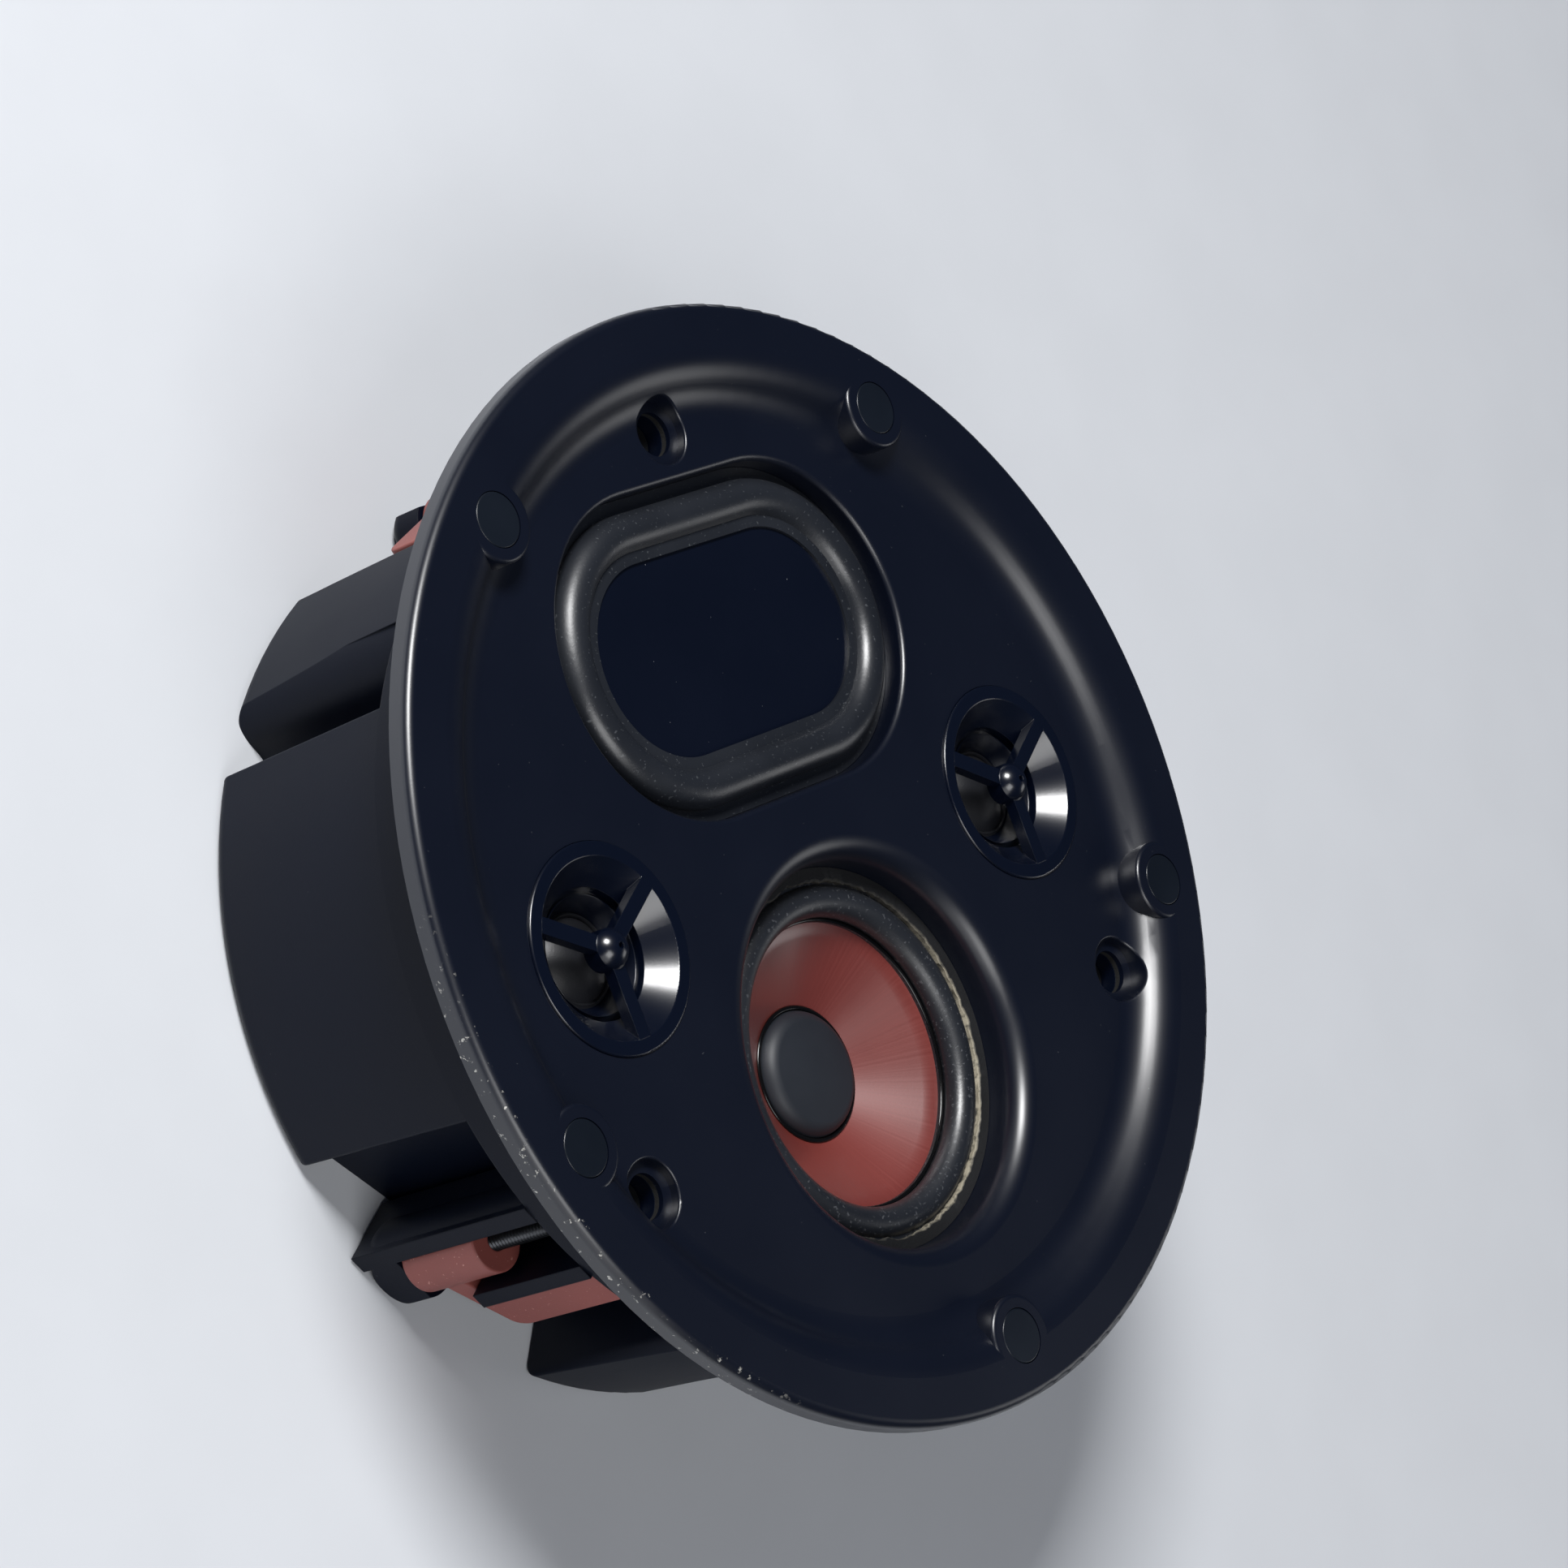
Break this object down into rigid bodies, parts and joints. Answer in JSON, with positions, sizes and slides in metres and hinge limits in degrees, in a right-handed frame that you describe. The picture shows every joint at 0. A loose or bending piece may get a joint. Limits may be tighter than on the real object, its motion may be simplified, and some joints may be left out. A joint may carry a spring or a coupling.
{
  "type": "in-ceiling speaker",
  "caption": "Round in-ceiling speaker without its grille: woofer, passive radiator and tweeters on a recessed baffle, sealed back can and swing-out clamps.",
  "frame": {"origin": "middle of the back can's flat back, on which the speaker lies", "axes": "+Z out of the grille side, +Y from the middle to the passive radiator, +X to the right seen from the front"},
  "size_m": [0.21, 0.21, 0.0735],
  "materials": {
    "frame_plastic": "satin black moulded plastic",
    "can_plastic": "satin black moulded plastic",
    "seal_foam": "soft black foam",
    "zinc_screw": "zinc plated steel",
    "black_screw": "blackened steel",
    "grille_magnet": "dark coated magnet with bright edge",
    "clamp_nylon": "red-brown moulded nylon",
    "basket_steel": "black painted steel",
    "surround_rubber": "soft black rubber",
    "cone_red": "satin brick-red cone",
    "cap_rubber": "dull dark grey",
    "gasket_card": "pale grey card",
    "copper_wire": "enamelled copper wire",
    "spider_cloth": "resin-stiffened cloth",
    "motor_steel": "zinc plated steel",
    "ferrite": "dark grey ferrite",
    "passive_plate": "satin black plate",
    "guard_plastic": "satin black moulded plastic",
    "dome_cloth": "coated black cloth",
    "neo_magnet": "nickel plated magnet",
    "board": "green board",
    "capacitor": "blue sleeve",
    "resistor": "white cement body",
    "terminal_plastic": "black moulded plastic",
    "push_red": "red moulded plastic",
    "push_black": "black moulded plastic",
    "contact_brass": "plain brass"
  },
  "bodies": {
    "housing": {"baffle_frame": "frame_plastic", "back_can": "can_plastic", "can_gasket": "seal_foam", "can_screws": "zinc_screw", "grille_magnets": "grille_magnet", "woofer_basket": "basket_steel", "woofer_screws": "zinc_screw", "woofer_surround": "surround_rubber", "woofer_gasket": "gasket_card", "woofer_spider": "spider_cloth", "woofer_top_plate": "motor_steel", "woofer_magnet": "ferrite", "woofer_yoke": "motor_steel", "passive_surround": "surround_rubber", "crossover_board": "board", "crossover_screws": "zinc_screw", "crossover_inductors": "copper_wire", "crossover_capacitors": "capacitor", "crossover_resistor": "resistor", "terminal_cup": "terminal_plastic", "terminal_screws": "zinc_screw", "terminal_contact_1": "contact_brass", "terminal_contact_2": "contact_brass", "tweeter_guard_1": "guard_plastic", "tweeter_suspension_1": "dome_cloth", "tweeter_front_plate_1": "motor_steel", "tweeter_slug_1": "motor_steel", "tweeter_magnet_1": "neo_magnet", "tweeter_pot_1": "motor_steel", "tweeter_guard_2": "guard_plastic", "tweeter_suspension_2": "dome_cloth", "tweeter_front_plate_2": "motor_steel", "tweeter_slug_2": "motor_steel", "tweeter_magnet_2": "neo_magnet", "tweeter_pot_2": "motor_steel"},
    "clamp_arm_1": {"clamp_1": "clamp_nylon"},
    "clamp_bolt_1": {"clamp_screw_1": "black_screw"},
    "clamp_arm_2": {"clamp_2": "clamp_nylon"},
    "clamp_bolt_2": {"clamp_screw_2": "black_screw"},
    "clamp_arm_3": {"clamp_3": "clamp_nylon"},
    "clamp_bolt_3": {"clamp_screw_3": "black_screw"},
    "woofer_piston": {"woofer_cone": "cone_red", "woofer_dust_cap": "cap_rubber", "woofer_voice_coil": "copper_wire"},
    "passive_piston": {"passive_plate": "passive_plate", "passive_weight": "motor_steel"},
    "tweeter_piston_1": {"tweeter_dome_1": "dome_cloth", "tweeter_coil_1": "copper_wire"},
    "tweeter_piston_2": {"tweeter_dome_2": "dome_cloth", "tweeter_coil_2": "copper_wire"},
    "terminal_button_1": {"terminal_push_1": "push_red"},
    "terminal_button_2": {"terminal_push_2": "push_black"}
  },
  "joints": [
    {"name": "clamp_swing_1", "type": "hinge", "parent": "housing", "child": "clamp_arm_1", "pos_m": [0, 0.0832, 0.02], "axis": [0, 0, 1], "range_deg": [-90, 0]},
    {"name": "clamp_screw_turn_1", "type": "hinge", "parent": "housing", "child": "clamp_bolt_1", "pos_m": [0, 0.0832, 0.06], "axis": [0, 0, 1], "continuous": true},
    {"name": "clamp_swing_2", "type": "hinge", "parent": "housing", "child": "clamp_arm_2", "pos_m": [-0.07205, -0.0416, 0.02], "axis": [0, 0, 1], "range_deg": [-90, 0]},
    {"name": "clamp_screw_turn_2", "type": "hinge", "parent": "housing", "child": "clamp_bolt_2", "pos_m": [-0.07205, -0.0416, 0.06], "axis": [0, 0, 1], "continuous": true},
    {"name": "clamp_swing_3", "type": "hinge", "parent": "housing", "child": "clamp_arm_3", "pos_m": [0.07205, -0.0416, 0.02], "axis": [0, 0, 1], "range_deg": [-90, 0]},
    {"name": "clamp_screw_turn_3", "type": "hinge", "parent": "housing", "child": "clamp_bolt_3", "pos_m": [0.07205, -0.0416, 0.06], "axis": [0, 0, 1], "continuous": true},
    {"name": "woofer_travel", "type": "slide", "parent": "housing", "child": "woofer_piston", "axis": [0, 0, 1], "range_m": [-0.0025, 0.0025], "stiffness_N_per_m": 1200, "deforming": ["woofer_surround", "woofer_spider"]},
    {"name": "passive_travel", "type": "slide", "parent": "housing", "child": "passive_piston", "axis": [0, 0, 1], "range_m": [-0.0035, 0.0035], "stiffness_N_per_m": 1500, "deforming": ["passive_surround"]},
    {"name": "tweeter_travel_1", "type": "slide", "parent": "housing", "child": "tweeter_piston_1", "axis": [0, 0, 1], "range_m": [-0.0003, 0.0003], "stiffness_N_per_m": 2000, "deforming": ["tweeter_suspension_1"]},
    {"name": "tweeter_travel_2", "type": "slide", "parent": "housing", "child": "tweeter_piston_2", "axis": [0, 0, 1], "range_m": [-0.0003, 0.0003], "stiffness_N_per_m": 2000, "deforming": ["tweeter_suspension_2"]},
    {"name": "terminal_press_1", "type": "slide", "parent": "housing", "child": "terminal_button_1", "axis": [0, 0, 1], "range_m": [0, 0.0022], "stiffness_N_per_m": 800, "springref_m": -0.001},
    {"name": "terminal_press_2", "type": "slide", "parent": "housing", "child": "terminal_button_2", "axis": [0, 0, 1], "range_m": [0, 0.0022], "stiffness_N_per_m": 800, "springref_m": -0.001}
  ]
}
